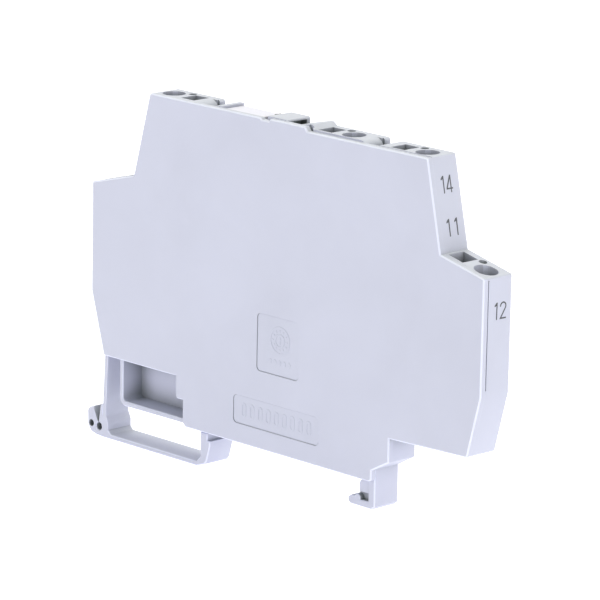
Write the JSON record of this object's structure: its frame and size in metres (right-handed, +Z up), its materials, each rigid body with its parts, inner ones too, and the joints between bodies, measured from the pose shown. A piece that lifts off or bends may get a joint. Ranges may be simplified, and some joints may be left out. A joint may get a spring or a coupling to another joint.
{
  "type": "rail-mount relay module",
  "caption": "Slim rail-mount interface relay: two-part grey housing with spring-clamp wire entries on stepped shoulders, marker strip, sprung rail foot and fixed hook.",
  "frame": {"origin": "middle of the rail seat, on the plane of the rail's top face, at mid-width of the module", "axes": "+Z up away from the rail, +X along the module's length towards the contact terminals, +Y along the rail, away from the side cover"},
  "size_m": [0.0929, 0.0062, 0.0618],
  "materials": {
    "grey_moulding": "satin moulded",
    "white_moulding": "satin moulded",
    "smoked_clear": "polished translucent",
    "board_laminate": "solder-resist lacquer",
    "led_lens": "diffused epoxy",
    "component_ceramic": "lacquered ceramic",
    "black_moulding": "matt moulded",
    "relay_case_black": "semi-gloss moulded",
    "bobbin_moulding": "glass-filled moulded",
    "can_sleeve": "shrink sleeve",
    "tinned_copper": "bright tin",
    "spring_steel": "bright rolled",
    "spring_bronze": "rolled strip",
    "silver_contact": "fine silver alloy",
    "soft_iron": "nickel-plated",
    "enamelled_copper": "enamelled wire",
    "solder": "reflowed"
  },
  "bodies": {
    "housing": {"housing_shell": "grey_moulding", "side_cover": "grey_moulding", "foot_flex_arm": "grey_moulding", "light_pipe": "smoked_clear", "contact_bar_a1": "tinned_copper", "contact_bar_14": "tinned_copper", "contact_bar_11": "tinned_copper", "contact_bar_12": "tinned_copper", "contact_bar_a2": "tinned_copper", "clamp_spring_a1": "spring_steel", "clamp_spring_14": "spring_steel", "clamp_spring_11": "spring_steel", "clamp_spring_12": "spring_steel", "clamp_spring_a2": "spring_steel", "jumper_contact": "tinned_copper", "test_sockets": "tinned_copper", "circuit_board": "board_laminate", "status_led": "led_lens", "led_resistor": "component_ceramic", "bridge_rectifier": "black_moulding", "input_resistor": "component_ceramic", "suppressor_diode": "black_moulding", "smoothing_capacitor": "can_sleeve", "solder_joints": "solder", "relay_base": "black_moulding", "relay_case": "relay_case_black", "coil_bobbin": "bobbin_moulding", "coil_winding": "enamelled_copper", "iron_core": "soft_iron", "yoke": "soft_iron", "no_terminal": "tinned_copper", "no_contact_tip": "silver_contact", "nc_terminal": "tinned_copper", "nc_contact_tip": "silver_contact", "common_terminal": "tinned_copper", "coil_pins": "tinned_copper"},
    "foot": {"snap_foot": "grey_moulding"},
    "marker": {"marker_strip": "white_moulding"},
    "armature": {"armature": "soft_iron"},
    "card": {"actuator_card": "white_moulding"},
    "blade": {"changeover_spring": "spring_bronze", "moving_contact_tip": "silver_contact"},
    "clamp_a1": {"clamp_cage_a1": "spring_steel"},
    "clamp_14": {"clamp_cage_14": "spring_steel"},
    "clamp_11": {"clamp_cage_11": "spring_steel"},
    "clamp_12": {"clamp_cage_12": "spring_steel"},
    "clamp_a2": {"clamp_cage_a2": "spring_steel"}
  },
  "joints": [
    {"name": "foot_release", "type": "slide", "parent": "housing", "child": "foot", "axis": [-1, 0, 0], "range_m": [0, 0.0013]},
    {"name": "marker_lift", "type": "slide", "parent": "housing", "child": "marker", "axis": [0, 0, 1], "range_m": [0, 0.004]},
    {"name": "clamp_a1_open", "type": "hinge", "parent": "housing", "child": "clamp_a1", "pos_m": [-0.0229, 0, 0.0463], "axis": [0, 1, 0], "range_deg": [0, 22]},
    {"name": "clamp_14_open", "type": "hinge", "parent": "housing", "child": "clamp_14", "pos_m": [0.00675, 0, 0.046], "axis": [0, -1, 0], "range_deg": [0, 22]},
    {"name": "clamp_11_open", "type": "hinge", "parent": "housing", "child": "clamp_11", "pos_m": [0.023, 0, 0.0458], "axis": [0, -1, 0], "range_deg": [0, 22]},
    {"name": "clamp_12_open", "type": "hinge", "parent": "housing", "child": "clamp_12", "pos_m": [0.0362, 0, 0.0305], "axis": [0, -1, 0], "range_deg": [0, 22]},
    {"name": "clamp_a2_open", "type": "hinge", "parent": "housing", "child": "clamp_a2", "pos_m": [-0.0372, 0, 0.0311], "axis": [0, 1, 0], "range_deg": [0, 22]},
    {"name": "armature_pull", "type": "hinge", "parent": "housing", "child": "armature", "pos_m": [0.00272, 0, 0.02485], "axis": [0, 1, 0], "range_deg": [0, 3.3]},
    {"name": "card_slide", "type": "slide", "parent": "housing", "child": "card", "axis": [-1, 0, 0], "range_m": [0, 0.0005]},
    {"name": "blade_swing", "type": "hinge", "parent": "housing", "child": "blade", "pos_m": [0.0079, 0, 0.02625], "axis": [0, 1, 0], "range_deg": [0, 3]}
  ],
  "couplings": [
    {"joint": "armature_pull", "follows": "card_slide", "rad_per_m": 114.29},
    {"joint": "blade_swing", "follows": "card_slide", "rad_per_m": 98.514}
  ]
}
